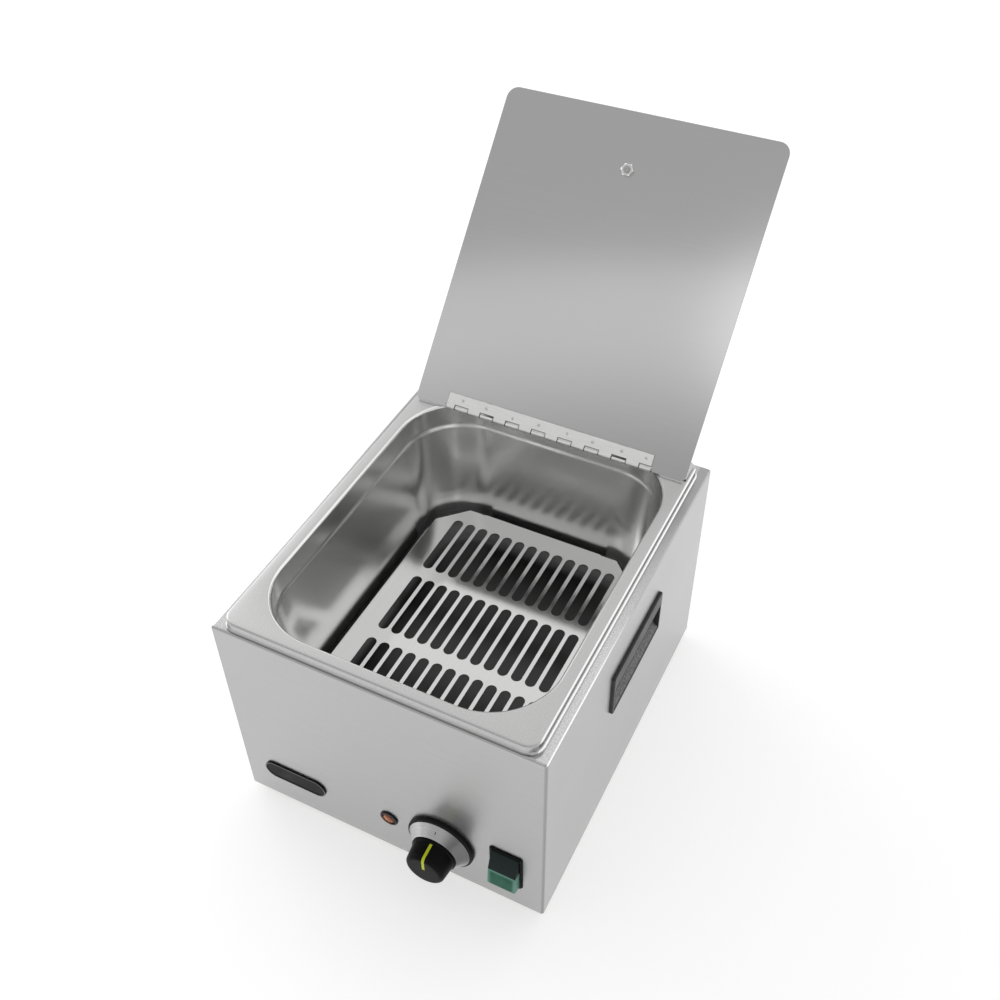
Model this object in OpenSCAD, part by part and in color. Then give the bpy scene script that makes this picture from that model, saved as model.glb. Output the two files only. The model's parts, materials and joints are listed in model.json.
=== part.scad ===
// Counter-top sausage warmer: a stainless jacket with a deep-drawn basin, a perforated insert
// plate, a lid on a piano hinge, and the thermostat, heater and wiring pieces below the basin.
// Millimetres. X runs along the front, Y to the back, Z up. The feet stand on Z = 0.

/* [Jacket] */
// Height of the jacket wall
jacket_h = 213; // [200:1:250]
// Thickness of the jacket sheet
sheet = 1; // [0.8:0.1:1.5]
// Outer radius of the jacket's bends
bend_r = 2.5; // [1.8:0.1:4]
// Width of the flange turned in at the bottom of the jacket
return_w = 12; // [8:1:16]
// Height of the jacket's bottom edge above the table
foot_h = 7; // [5:0.5:16]
// Diameter of a rubber foot
foot_d = 22; // [16:1:30]
// Distance of a foot's centre from the jacket's outer faces
foot_inset = 30; // [24:1:45]
// Thickness of the base plate
base_t = 1; // [0.8:0.1:1.5]

/* [Basin] */
// Width of the basin's rim
rim_w = 265; // [262:1:270]
// Length of the basin's rim
rim_l = 325; // [322:1:330]
// Corner radius of the rim
rim_r = 12; // [8:1:18]
// Height of the rim's turned-down edge, which stands on the jacket
rim_h = 9; // [6:0.5:14]
// Distance of the rim's side edges from the jacket's side faces
rim_side = 9; // [8:0.5:20]
// Distance of the rim's front edge from the jacket's front face
rim_front = 2.5; // [2.5:0.5:8]
// Distance of the rim's back edge from the jacket's back face
rim_back = 7; // [4:0.5:20]
// Width of the rim beside the opening
flange_w = 9; // [8.5:0.5:12]
// How far the opening lies in front of the rim's middle
mouth_fwd = 1; // [0:0.5:2]
// Corner radius of the opening
mouth_r = 60; // [52:1:66]
// Depth of the basin from the rim to its underside
basin_depth = 150; // [135:1:160]
// Wall thickness of the basin
basin_t = 0.8; // [0.6:0.1:1]
// Radius of the rolled edge of the opening
roll_r = 3; // [2:0.5:4]
// Depth of the stacking shoulder below the rim
shoulder_z = 22; // [16:1:30]
// Radius of the two bends of the shoulder
shoulder_r = 5; // [3:0.5:6]
// Angle of the shoulder's slope from the upright
shoulder_a = 30; // [25:1:50]
// Draft angle of the basin's wall
draft = 6; // [3:0.5:7]
// Radius of the bend between the wall and the floor of the basin
floor_r = 22; // [16:1:26]

/* [Insert plate] */
// Height of the plate's top above the underside of the basin
insert_z = 32; // [28:1:45]
// Distance of the plate's edge inside the opening, all round
insert_inset = 20.4; // [19:0.2:23]
// Thickness of the plate
insert_t = 1; // [0.8:0.1:1.5]
// Length of the clipped corners, along each side
clip_l = 26; // [20:1:32]
// Number of slots in a row
slot_count = 13; // [5:1:13]
// Number of rows of slots
slot_rows = 3; // [1:1:4]
// Distance between slots, centre to centre
slot_pitch = 13; // [11.5:0.1:13.4]
// Width of a slot
slot_w = 9.5; // [6:0.5:10]
// Length of a slot
slot_l = 68; // [40:1:70]
// Distance between two rows, from slot end to slot end
slot_gap = 12; // [8:1:14]

/* [Lid] */
// How far the lid reaches past the opening at each side
lid_side = 6; // [3:0.5:7]
// How far the lid reaches past the opening at the front
lid_front = 1.2; // [0.5:0.1:4]
// Thickness of the lid sheet
lid_t = 1; // [0.8:0.1:1.2]
// Radius of the lid's front corners
lid_corner_r = 10.5; // [4:0.5:20]
// How far the lid's corners reach behind the hinge axis
lid_heel = 1.2; // [0.6:0.1:1.3]
// Distance of the hinge axis in front of the rim's back edge
axis_back = 28.9; // [27:0.1:31]
// Angle of the open lid from its closed place
open_a = 132.4; // [129:0.2:136]
// Distance of the lid knob from the hinge axis
knob_s = 239; // [200:1:242]
// Diameter of the lid knob
lid_knob_d = 30; // [24:1:34]
// Height of the lid knob
lid_knob_h = 26; // [22:1:30]
// Diameter of the knob's stud
stud_d = 6; // [5:1:6]
// Width across flats of the knob's nut
nut_af = 10; // [9:0.5:13]

/* [Hinge] */
// Length of the piano hinge
hinge_l = 197; // [180:1:200]
// Length of one knuckle with its gap
knuckle_l = 12.7; // [10:0.1:16]
// Length of the first knuckle, where the hinge strip was cut
first_l = 8.8; // [6:0.1:9.5]
// Gap between two knuckles
knuckle_gap = 0.4; // [0.3:0.1:0.6]
// Diameter of the hinge pin
pin_d = 2; // [1.6:0.1:2.2]
// Thickness of the hinge leaves
leaf_t = 0.8; // [0.6:0.1:1]
// Width of a leaf from the axis to its edge
leaf_w = 13.3; // [11:0.1:15]
// Width of the hem folded under the back edge of the fixed strip
hem_w = 5; // [4:0.5:6]
// Width of a stop tab of the fixed strip
tab_w = 22; // [14:1:34]
// Distance of a stop tab's centre from the middle
tab_x = 62; // [40:1:90]

/* [Controls] */
// Distance of the dial's centre from the jacket's right side
dial_side = 90.5; // [88:0.5:97]
// Height of the dial's centre above the jacket's bottom edge
dial_z = 47.5; // [42:0.5:52]
// Diameter of the dial's black base ring
dial_d = 59; // [56:1:62]
// Diameter of the small end of the dial's conical skirt
skirt_d = 39.6; // [37:0.2:42]
// How far the skirt's small end stands out from the front
skirt_out = 12.4; // [10:0.2:15]
// How far the knob's end stands out from the front
knob_out = 30.1; // [28:0.1:36]
// Radius of the rounded edge at the knob's end
knob_edge = 4; // [2:0.5:5]
// Diameter of the thermostat shaft
shaft_d = 6; // [5:0.5:6.5]
// Width of the pointer
pointer_w = 2.4; // [1.6:0.1:3.6]
// Distance of the switch's centre from the jacket's right side
switch_side = 32.5; // [26:0.5:36]
// Height of the switch's centre above the jacket's bottom edge
switch_z = 52; // [46:0.5:60]
// Width of the switch's frame
switch_w = 29; // [28:0.5:32]
// Height of the switch's frame
switch_h = 45.5; // [42:0.5:48]
// How far the switch's frame stands out from the front
switch_out = 1.6; // [1.4:0.1:5]
// Tilt of the rocker to each side
rocker_a = 12; // [8:0.5:13]
// Distance of the pilot lamp from the dial, centre to centre
lamp_gap = 49; // [47:1:59]
// Height of the lamp's centre above the jacket's bottom edge
lamp_z = 45.5; // [40:0.5:56]
// Diameter of the lamp's black ring
lamp_d = 16.5; // [15:0.5:20]
// Distance of the badge's centre from the jacket's left side
badge_side = 51.5; // [44:0.5:62]
// Height of the badge's centre above the jacket's bottom edge
badge_z = 40.5; // [30:0.5:60]
// Length of the badge
badge_w = 60; // [50:1:70]
// Height of the badge
badge_h = 20; // [14:1:24]
// Thickness of the badge
badge_t = 1.6; // [1.2:0.1:2.5]

/* [Side grips] */
// Length of a grip's frame
grip_l = 102; // [84:1:130]
// Height of a grip's frame
grip_h = 46; // [40:1:52]
// How far a grip's frame stands out from the side
grip_out = 2.8; // [2.6:0.1:6]
// Width of the grip's thin bars, at both ends and below
grip_bar = 2.4; // [2.2:0.1:3]
// Height of the grip's hood, which the fingers pull from behind
hood_h = 16; // [12:0.5:20]
// Depth of the grip's pocket behind the side
grip_depth = 15; // [10:0.5:17]
// Height of the grip's centre above the jacket's bottom edge
grip_z = 147; // [120:0.5:152]
// Place of the grip's centre, behind the middle of the side
grip_y = 3.75; // [-30:0.25:30]

/* [Heating] */
// Diameter of the tubular heating element
heater_d = 6.5; // [6:0.1:8.5]
// Length of the element's straight runs
heater_l = 150; // [100:1:170]
// Distance between two runs of the element, centre to centre
heater_pitch = 34; // [30:1:40]
// Thickness of the heat spreader under the basin
spreader_t = 2; // [1.5:0.1:3]
// Distance of the spreader's side edges inside the opening's edge
spreader_edge = 43.5; // [42:0.5:60]
// Length of the thermostat's bulb
bulb_l = 62; // [50:1:75]
// Diameter of the cord that the gland takes
cord_d = 8; // [6:0.5:9]

/* [Hidden] */
$fn = 64;

steel = [0.74, 0.74, 0.73];
grey_steel = [0.62, 0.62, 0.62];
aluminium = [0.8, 0.8, 0.82];
black_plastic = [0.1, 0.1, 0.1];
brass = [0.78, 0.62, 0.32];
copper = [0.72, 0.45, 0.3];

seat = 0.3;                          // gap between a loose piece and its seat
fit = 0.05;                          // radial gap of a pin, shaft or stud in its bore
eps = 0.01;
jacket_w = rim_w + 2*rim_side;
jacket_d = rim_l + rim_front + rim_back;
mouth_w = rim_w - 2*flange_w;        // opening at the flat of the rim
mouth_l = rim_l - 2*flange_w;
top_z = foot_h + jacket_h;           // top of the jacket
rim_z = top_z + rim_h;               // top of the basin's rim
front = -jacket_d/2;                 // front face of the jacket
back = jacket_d/2;                   // back face of the jacket
side = jacket_w/2;                   // right face of the jacket
rim_y = front + rim_front + rim_l/2; // centre of the rim
rim_bend = 2;                        // outer radius of the rim's edge
mouth_y = rim_y - mouth_fwd;         // centre of the opening
well_z = rim_z - basin_depth;        // underside of the basin
border = 2.5;                        // jacket's own opening, outside the basin's opening

// Centres of the bends of the basin's wall: inset from the opening's edge, height from the rim
bend_1 = [0, -roll_r];
bend_2 = [roll_r + shoulder_r, -shoulder_z];
bend_3 = bend_2 - 2*shoulder_r*[cos(shoulder_a), sin(shoulder_a)];
wall_top = bend_3 + shoulder_r*[cos(draft), sin(draft)];
bend_4z = basin_t + floor_r - basin_depth;
bend_4u = (cos(draft)*wall_top[0] + sin(draft)*(wall_top[1] - bend_4z) + floor_r)/cos(draft);
bend_4 = [bend_4u, bend_4z];

// Insert plate: its half sizes, its height and the length of its legs down to the floor bend
ins_x = mouth_w/2 - insert_inset;
ins_y = mouth_l/2 - insert_inset;
ins_z = well_z + insert_z;
ins_bend = 2;
leg_z = rim_z + bend_4[1] - sqrt((floor_r - seat)^2 - (bend_4[0] - insert_inset)^2);
leg_h = ins_z - leg_z;

// Hinge and lid, in the closed lid's frame: its origin is the hinge axis, the lid runs to -Y
bore_r = pin_d/2 + fit;
barrel_r = bore_r + leaf_t;
leaf_h = 0.05 - barrel_r;            // underside of the leaves
lid_h = leaf_h + leaf_t;             // underside of the lid
axis_y = rim_y + rim_l/2 - axis_back;
axis_z = rim_z - leaf_h;
lid_l = axis_y - mouth_y + mouth_l/2 + lid_front;
lid_w = mouth_w + 2*lid_side;
lean = open_a - 90;
notch = barrel_r + 0.9;              // depth of the cut-outs for the other leaf's knuckles
lid_notch = barrel_r + 0.75;         // depth of the lid's cut-out for the hinge
strip_y0 = axis_y + 2.5;             // front and back edge of the fixed strip
strip_y1 = rim_y + rim_l/2 - 3.5;
tab_top = axis_z + (cos(lean)*(strip_y1 - leaf_t - axis_y) - (lid_h + lid_t) - seat)/sin(lean);
nut_h = 5;                           // height of a nut
thin_nut_h = 3.5;                    // height of the thin nut under the lid
knuckles = ceil((hinge_l - first_l)/knuckle_l/2);

// Controls
dial_x = side - dial_side;
switch_x = side - switch_side;
lamp_x = dial_x - lamp_gap;
badge_x = side - badge_side;
lamp_out = 1.5;                      // how far the lamp's ring stands out
ring_t = 3.6;                        // thickness of the dial's ring
knob_gap = 0.5;                      // gap between the skirt and the turning knob
knob_r0 = skirt_d/2 - 0.1;
knob_r1 = skirt_d/2 - 1.5;
knob_r2 = skirt_d/2 - 2.6;
body_w = switch_w - 2;               // switch body behind the frame
body_h = switch_h - 2;
window_w = body_w - 2.4;             // window for the rocker
window_h = body_h - 1.6;
rocker_w = window_w - 2*seat;
rocker_r = window_h/2 - seat;
rocker_back = 3;                     // rocker's axis behind the front face
ridge = 11.86;                       // rocker's ridge in front of its axis
lens_r = lamp_d/2 - 2.4;

// Heating
tube_z = well_z - spreader_t - heater_d/2 - 0.1;
bar_z = tube_z - heater_d/2 - 0.1;   // top of the clamp bar
bar_t = 3;
bar_y = mouth_y + 22;
run_x = heater_pitch*1.5;
spreader_w = mouth_w - 2*spreader_edge;
spreader_l = mouth_l - 2*spreader_edge - 10;
lead_l = (spreader_l - heater_l)/2 + 2;  // the element's end runs reach past the spreader
bulb_r = 3;
bulb_z = well_z - spreader_t - bulb_r - 0.1;
bulb_y = mouth_y - 74;
stat_y = front + sheet + 1.5;        // front of the thermostat's body
stat_l = 28;
cap_r = 0.9;
cap_0 = [heater_pitch, stat_y + stat_l, foot_h + dial_z - 4];

// The model is centred on the floor between the knob's end and the open lid's edge
y_min = front - knob_out;
y_max = axis_y + max(lid_l*sin(lean) + (lid_h + lid_t)*cos(lean),
  (knob_s + lid_knob_d/2)*sin(lean) + (lid_h + lid_t + lid_knob_h)*cos(lean));
y_shift = -(y_min + y_max)/2;

function arc(c, r, a0, a1, n) =
  [for (i = [0:n]) c + r*[cos(a0 + (a1 - a0)*i/n), sin(a0 + (a1 - a0)*i/n)]];
function rev(v) = [for (i = [len(v) - 1:-1:0]) v[i]];

// Line of the basin's wall, o inside the sheet: x from the corner's centre, y from the rim
function well_line(o) = [for (p = concat(
  arc(bend_1, roll_r - o, 90, 0, 5),
  arc(bend_2, shoulder_r + o, 180, 180 + shoulder_a, 4),
  arc(bend_3, shoulder_r - o, shoulder_a, draft, 4),
  arc(bend_4, floor_r + o, 180 + draft, 270, 9),
  [[mouth_r, -basin_depth + basin_t - o]])) [mouth_r - p[0], p[1]]];

module place() {
  translate([0, y_shift, 0]) children();
}

// Moves a piece of the closed lid, drawn about the hinge axis, to the open lid
module on_lid() {
  place() translate([0, axis_y, axis_z]) rotate([-open_a, 0, 0]) children();
}

// Stands a piece on the front face: its Z becomes the way out of the front, its Y the height
module on_front(x, z) {
  place() translate([x, front, foot_h + z]) rotate([90, 0, 0]) children();
}

module rrect(w, l, r) {
  square([w - 2*r, l], center = true);
  square([w, l - 2*r], center = true);
  for (x = [-1, 1], y = [-1, 1]) translate([x*(w/2 - r), y*(l/2 - r)]) circle(r = r);
}

// Carries a wall section round a rounded rectangle
module sweep_rect(w, l, r) {
  for (i = [0:3]) {
    a = (i % 2 == 0) ? w/2 - r : l/2 - r;
    b = (i % 2 == 0) ? l/2 - r : w/2 - r;
    rotate([0, 0, 90*i]) translate([a, b, 0]) {
      rotate_extrude(angle = 90) children();
      rotate([90, 0, 0]) linear_extrude(2*b) children();
    }
  }
}

module at_screws() {
  for (x = [-1, 1], y = [-1, 0, 1]) translate([x*(side - 6), y*(jacket_d/2 - 50), 0]) children();
  for (y = [-1, 1]) translate([0, y*(jacket_d/2 - 6), 0]) children();
}

module at_feet() {
  for (x = [-1, 1], y = [-1, 1])
    translate([x*(side - foot_inset), y*(back - foot_inset), 0]) children();
}

module jacket_shell() {
  sweep_rect(jacket_w, jacket_d, bend_r) polygon(concat(
    arc([0, top_z - bend_r], bend_r, 90, 0, 4),
    arc([0, foot_h + bend_r], bend_r, 0, -90, 4),
    arc([0, foot_h + bend_r], bend_r - sheet, -90, 0, 4),
    arc([0, top_z - bend_r], bend_r - sheet, 0, 90, 4)));
  translate([0, 0, top_z - sheet]) linear_extrude(sheet)
    square([jacket_w - 2*bend_r, jacket_d - 2*bend_r], center = true);
  translate([0, 0, foot_h]) linear_extrude(sheet)
    square([jacket_w - 2*bend_r, jacket_d - 2*bend_r], center = true);
}

module jacket() {
  color(steel) difference() {
    place() jacket_shell();
    place() translate([0, mouth_y, top_z - 3]) linear_extrude(6)
      rrect(mouth_w + 2*border, mouth_l + 2*border, 20);
    place() translate([0, 0, foot_h - 1]) linear_extrude(sheet + 2)
      square([jacket_w - 2*return_w, jacket_d - 2*return_w], center = true);
    place() at_screws() translate([0, 0, foot_h - 1]) cylinder(r = 2, h = sheet + 2);
    on_front(dial_x, dial_z) translate([0, 0, -4]) cylinder(r = shaft_d/2 + 1.8, h = 6);
    for (x = [-14, 14]) on_front(dial_x + x, dial_z) translate([0, 0, -4])
      cylinder(r = 2.05, h = 6);
    on_front(switch_x, switch_z) cube([body_w + 0.2, body_h + 0.2, 8], center = true);
    on_front(lamp_x, lamp_z) translate([0, 0, -4]) cylinder(r = lamp_d/2 - 1, h = 6);
    for (a = [0, 1]) mirror([a, 0, 0]) on_side() grip_hole();
    on_gland() translate([0, 0, -4]) cylinder(r = cord_d/2 + 4, h = 8);
  }
}

module base_plate() {
  color(grey_steel) place() difference() {
    translate([0, 0, foot_h - base_t]) linear_extrude(base_t)
      rrect(jacket_w - 3, jacket_d - 3, 2);
    at_screws() translate([0, 0, foot_h - base_t - 1]) cylinder(r = 2, h = base_t + 2);
    at_feet() translate([0, 0, foot_h - base_t - 1]) cylinder(r = 3.1, h = base_t + 2);
    for (x = [-1, 1], i = [-4:4]) translate([x*46, 12*i + 30, foot_h - base_t - 1])
      linear_extrude(base_t + 2) {
        square([44, 4], center = true);
        for (s = [-22, 22]) translate([s, 0]) circle(r = 2, $fn = 32);
      }
  }
}

module base_screws() {
  color(grey_steel) place() at_screws() difference() {
    union() {
      translate([0, 0, foot_h - base_t - 2.2]) rotate_extrude()
        polygon(concat([[0, 0]], arc([2.4, 1.4], 1.4, -90, 0, 4), [[3.8, 2.2], [0, 2.2]]));
      translate([0, 0, foot_h - base_t - 0.2]) cylinder(r = 1.95, h = base_t + sheet + 5);
    }
    for (a = [0, 90]) rotate([0, 0, a])
      translate([-1.9, -0.45, foot_h - base_t - 3]) cube([3.8, 0.9, 2]);
  }
}

module rubber_feet() {
  color(black_plastic) place() at_feet() rotate_extrude() polygon(concat(
    [[0, 0]], arc([foot_d/2 - 2.5, 1], 1, -90, -10, 3),
    arc([foot_d/2 - 1, foot_h - base_t - 1], 1, 10, 90, 3),
    [[3, foot_h - base_t], [3, foot_h], [4, foot_h], [4, foot_h + 1], [2.4, foot_h + 4],
      [0, foot_h + 4]]));
}

module basin() {
  color(steel) place() {
    translate([0, mouth_y, rim_z]) sweep_rect(mouth_w, mouth_l, mouth_r)
      polygon(concat(well_line(0), rev(well_line(basin_t))));
    translate([0, mouth_y, well_z + basin_t/2])
      cube([mouth_w - 2*mouth_r, mouth_l - 2*mouth_r, basin_t], center = true);
    difference() {
      translate([0, rim_y, rim_z - basin_t]) linear_extrude(basin_t)
        rrect(rim_w - 2*rim_bend, rim_l - 2*rim_bend, rim_r - rim_bend);
      translate([0, mouth_y, rim_z - 2]) linear_extrude(4) rrect(mouth_w, mouth_l, mouth_r);
    }
    translate([0, rim_y, 0]) sweep_rect(rim_w, rim_l, rim_r) polygon(concat(
      arc([rim_r - rim_bend, rim_z - rim_bend], rim_bend, 90, 0, 5),
      [[rim_r, top_z], [rim_r - basin_t, top_z]],
      arc([rim_r - rim_bend, rim_z - rim_bend], rim_bend - basin_t, 0, 90, 5)));
    for (x = [-1, 1]) translate([x*heater_pitch, bar_y, bar_z - bar_t - 8])
      cylinder(r = 3, h = well_z - bar_z + bar_t + 8 + basin_t/2);
  }
}

module leg(l) {
  translate([0, l/2, 0]) rotate([90, 0, 0]) linear_extrude(l) polygon(concat(
    arc([-ins_bend, -ins_bend], ins_bend, 90, 0, 4),
    [[0, -leg_h], [-insert_t, -leg_h]],
    arc([-ins_bend, -ins_bend], ins_bend - insert_t, 0, 90, 4)));
}

module insert_plate() {
  a = ins_x - ins_bend;
  b = ins_y - ins_bend;
  c = clip_l - ins_bend/2;
  color(steel) place() translate([0, mouth_y, ins_z]) {
    difference() {
      translate([0, 0, -insert_t]) linear_extrude(insert_t) polygon([[a, b - c], [a - c, b],
        [c - a, b], [-a, b - c], [-a, c - b], [c - a, -b], [a - c, -b], [a, c - b]]);
      for (i = [0:slot_count - 1], j = [0:slot_rows - 1])
        translate([(i - (slot_count - 1)/2)*slot_pitch,
          (j - (slot_rows - 1)/2)*(slot_l + slot_gap), -insert_t - 1])
          linear_extrude(insert_t + 2) {
            square([slot_w, slot_l - slot_w], center = true);
            for (s = [-1, 1]) translate([0, s*(slot_l - slot_w)/2])
              circle(r = slot_w/2, $fn = 32);
          }
    }
    for (q = [0, 180]) rotate([0, 0, q]) {
      translate([ins_x, 0, 0]) leg(mouth_l - 2*mouth_r - 2);
      rotate([0, 0, 90]) translate([ins_y, 0, 0]) leg(mouth_w - 2*mouth_r - 7);
    }
  }
}

module lid_plate() {
  r = 4.5;
  color(steel) on_lid() translate([0, 0, lid_h]) difference() {
    linear_extrude(lid_t) {
      translate([-lid_w/2, lid_corner_r - lid_l])
        square([lid_w, lid_l + lid_heel - lid_corner_r - r]);
      translate([lid_corner_r - lid_w/2, -lid_l]) square([lid_w - 2*lid_corner_r, lid_corner_r + 1]);
      translate([r - lid_w/2, lid_heel - r - 1]) square([lid_w - 2*r, r + 1]);
      for (x = [-1, 1]) {
        translate([x*(lid_w/2 - lid_corner_r), lid_corner_r - lid_l]) circle(r = lid_corner_r);
        translate([x*(lid_w/2 - r), lid_heel - r]) circle(r = r);
      }
    }
    translate([-hinge_l/2 - 1, -lid_notch, -1]) cube([hinge_l + 2, lid_notch + 3, lid_t + 2]);
    translate([0, -knob_s, -1]) cylinder(r = stud_d/2 + fit, h = lid_t + 2);
  }
}

// Half of the piano hinge lying flat to -Y, with the knuckles of the other half cut away
module leaf(first) {
  difference() {
    union() {
      translate([-hinge_l/2, -leaf_w, leaf_h]) cube([hinge_l, leaf_w, leaf_t]);
      translate([-hinge_l/2, 0, 0]) rotate([0, 90, 0]) cylinder(r = barrel_r, h = hinge_l);
    }
    translate([-hinge_l/2 - 1, 0, 0]) rotate([0, 90, 0]) cylinder(r = bore_r, h = hinge_l + 2);
    for (i = [0:knuckles]) {
      x0 = -hinge_l/2 + first_l + knuckle_l*(2*i - first);
      translate([x0 - knuckle_gap/2, -notch, -barrel_r - 1])
        cube([knuckle_l + knuckle_gap, notch + barrel_r + 1, 2*barrel_r + 2]);
    }
  }
}

module lid_leaf() {
  color(grey_steel) on_lid() leaf(0);
}

module fixed_leaf() {
  color(grey_steel) place() translate([0, axis_y, axis_z]) mirror([0, 1, 0]) leaf(1);
}

module hinge_pin() {
  color(grey_steel) place() translate([0, axis_y, axis_z]) rotate([0, 90, 0]) {
    cylinder(r = pin_d/2, h = hinge_l + 0.6, center = true);
    for (s = [-1, 1]) translate([0, 0, s*(hinge_l/2 + 0.55)])
      cylinder(r = pin_d/2 + 0.5, h = 0.6, center = true);
  }
}

module rear_strip() {
  color(steel) place() {
    difference() {
      translate([-lid_w/2, strip_y0, rim_z + leaf_t])
        cube([lid_w, strip_y1 - strip_y0, leaf_t]);
      for (s = [-1, 1]) translate([s*lid_w/2, strip_y1, rim_z]) rotate([0, 0, 45])
        cube([6, 6, 9], center = true);
    }
    translate([-lid_w/2 + 5, strip_y1 - hem_w, rim_z]) cube([lid_w - 10, hem_w, leaf_t]);
    for (s = [-1, 1]) translate([s*tab_x, strip_y1, 0]) rotate([90, 0, 0]) linear_extrude(leaf_t) {
      translate([-tab_w/2, rim_z + leaf_t]) square([tab_w, tab_top - rim_z - leaf_t - 4]);
      translate([-tab_w/2 + 4, tab_top - 5]) square([tab_w - 8, 5]);
      for (q = [-1, 1]) translate([q*(tab_w/2 - 4), tab_top - 4]) circle(r = 4);
    }
  }
}

module lid_knob() {
  r = lid_knob_d/2;
  h = lid_knob_h;
  color(black_plastic) on_lid() translate([0, -knob_s, lid_h + lid_t]) difference() {
    rotate_extrude() polygon(concat([[0, 0], [9, 0], [9, 1.5]],
      arc([9, 8.5], 3, 240, 120, 5), arc([r - 4, h - 8], 4, -60, 60, 6),
      [[r - 5, h - 2.4], [r - 9, h - 0.6], [0, h]]));
    translate([0, 0, -1]) cylinder(r = stud_d/2 + fit, h = 14);
  }
}

module knob_stud() {
  color(grey_steel) on_lid() translate([0, -knob_s, lid_h - thin_nut_h - 1])
    cylinder(r = stud_d/2, h = thin_nut_h + 1 + lid_t + 12);
}

module nut(af, h, r) {
  difference() {
    intersection() {
      cylinder(d = af/cos(30), h = h, $fn = 6);
      rotate_extrude() polygon([[0, 0], [af/2, 0], [af/2 + 1, 0.7], [af/2 + 1, h - 0.7],
        [af/2, h], [0, h]]);
    }
    translate([0, 0, -1]) cylinder(r = r, h = h + 2);
  }
}

module knob_nut() {
  color(grey_steel) on_lid() translate([0, -knob_s, lid_h - thin_nut_h])
    nut(nut_af, thin_nut_h, stud_d/2 + fit);
}

module dial_ring() {
  r = dial_d/2;
  color(black_plastic) on_front(dial_x, dial_z) difference() {
    rotate_extrude() polygon(concat([[5.2, 0], [r, 0]], arc([r - 1.4, ring_t - 1.4], 1.4, 0, 90, 4),
      [[r - 4, ring_t], [r - 4, 1.4], [5.2, 1.4]]));
    for (x = [-14, 14]) translate([x, 0, -1]) cylinder(r = 2.05, h = 4);
  }
}

module dial_screws() {
  color(grey_steel) for (x = [-14, 14]) on_front(dial_x + x, dial_z) difference() {
    union() {
      translate([0, 0, 1.4]) cylinder(r = 3.5, h = 2);
      translate([0, 0, -sheet - 5]) cylinder(r = 2, h = sheet + 6.5);
    }
    translate([-4, -0.5, 2.6]) cube([8, 1, 2]);
  }
}

module dial_skirt() {
  r = dial_d/2 - 2.1;
  color(aluminium) on_front(dial_x, dial_z) rotate_extrude() polygon([[r - 1.4, ring_t],
    [r, ring_t], [r, ring_t + 0.6], [skirt_d/2, skirt_out], [skirt_d/2 - 5, skirt_out],
    [skirt_d/2 - 5, skirt_out - 1.2], [skirt_d/2 - 1.1, skirt_out - 1.2],
    [r - 1.4, ring_t + 0.6]]);
}

// Outside line of the knob, d inside its surface: x from its axis, y from the front
function knob_line(d) = concat(
  [[knob_r1 - d, skirt_out + knob_gap + 2.6]],
  arc([knob_r2 - knob_edge, knob_out - knob_edge], knob_edge - d, 5, 90, 7),
  [[2.6, knob_out - d]]);

module knob_slot() {
  translate([-pointer_w/2, 2.6, 0]) cube([pointer_w, knob_r0, knob_out + 1]);
}

module thermostat_knob() {
  z0 = skirt_out + knob_gap;
  color(black_plastic) on_front(dial_x, dial_z) difference() {
    rotate_extrude() polygon(concat(
      [[3 + fit, 9], [7, 9], [7, knob_out - 3], [knob_r2 - 2.4, knob_out - 3],
        [knob_r1 - 2.4, z0], [knob_r0, z0], [knob_r0, z0 + 0.9], [knob_r1, z0 + 2.1]],
      knob_line(0), [[0, knob_out], [0, knob_out - 3.5], [3 + fit, knob_out - 3.5]]));
    intersection() {
      knob_slot();
      rotate_extrude() polygon(concat(knob_line(-1), rev(knob_line(0.8))));
    }
  }
}

module knob_pointer() {
  color([0.66, 0.72, 0.14]) on_front(dial_x, dial_z) intersection() {
    knob_slot();
    rotate_extrude() polygon(concat(knob_line(0), rev(knob_line(0.8))));
  }
}

module thermostat_shaft() {
  color(grey_steel) on_front(dial_x, dial_z) translate([0, 0, -sheet - 1.5 - 6])
    cylinder(r = 3, h = sheet + 7.5 + knob_out - 3.8);
}

module thermostat_plate() {
  color(grey_steel) on_front(dial_x, dial_z) difference() {
    union() {
      translate([0, 0, -sheet - 0.75]) cube([44, 30, 1.5], center = true);
      translate([0, 0, -sheet - 1.5]) cylinder(r = shaft_d/2 + 1.6, h = sheet + 3.5);
    }
    translate([0, 0, -sheet - 2.5]) cylinder(r = 3 + fit, h = sheet + 5);
    for (x = [-14, 14]) translate([x, 0, -sheet - 2.5]) cylinder(r = 2.05, h = 4);
  }
}

module thermostat_body() {
  color([0.88, 0.86, 0.8]) on_front(dial_x, dial_z) translate([0, 0, -sheet - 1.5]) {
    difference() {
      translate([0, 0, -stat_l/2]) cube([44, 34, stat_l], center = true);
      translate([0, 0, -6.2]) cylinder(r = 3 + fit, h = 8);
      for (x = [-14, 14]) translate([x, 0, -6]) cylinder(r = 2.3, h = 7);
      for (s = [-1, 1]) translate([0, s*17, -20]) cube([30, 3, 9], center = true);
    }
  }
  color(brass) on_front(dial_x, dial_z) for (x = [-12, 0, 12])
    translate([x, -8, -sheet - 1.5 - stat_l - 4]) cube([6.3, 0.8, 8.4], center = true);
}

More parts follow.
